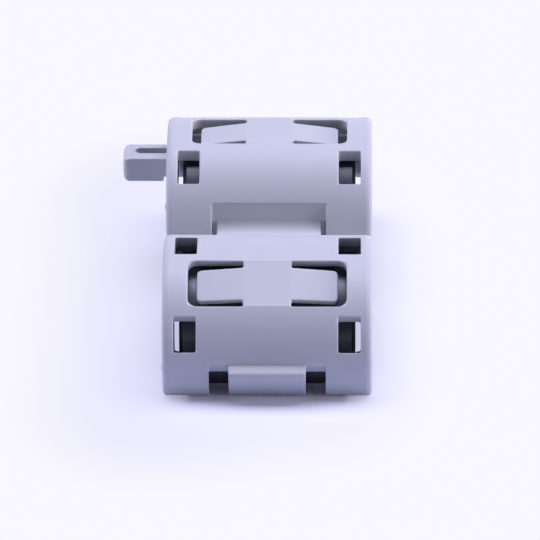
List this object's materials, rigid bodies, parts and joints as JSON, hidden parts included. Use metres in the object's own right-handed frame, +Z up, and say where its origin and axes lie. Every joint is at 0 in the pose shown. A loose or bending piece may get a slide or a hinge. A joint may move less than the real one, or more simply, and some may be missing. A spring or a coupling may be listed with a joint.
{
  "type": "clip-on ferrite bead",
  "caption": "Hinged nylon case with half a ferrite sleeve in each half, which snaps shut round a cable to choke high-frequency noise.",
  "frame": {"origin": "centre of the footprint of the standing, open bead, on the surface it stands on", "axes": "+X along the cable, away from the tie loop; +Y from the front half (with the catch) to the rear half (with the latch loop); +Z up"},
  "size_m": [0.022, 0.03, 0.0131],
  "materials": {
    "case_nylon": "satin injection-moulded nylon",
    "ferrite": "pressed and fired ferrite, ground flat on the mating faces"
  },
  "bodies": {
    "rear_half": {"rear_shell": "case_nylon", "rear_core": "ferrite", "latch_loop": "case_nylon", "hinge_web": "case_nylon"},
    "front_half": {"front_shell": "case_nylon", "front_core": "ferrite"}
  },
  "joints": [
    {"name": "case_hinge", "type": "hinge", "parent": "rear_half", "child": "front_half", "pos_m": [0.00195, -0.00001, 0.00627], "axis": [1, 0, 0], "range_deg": [-32, 148], "deforming": ["hinge_web", "latch_loop"]}
  ]
}
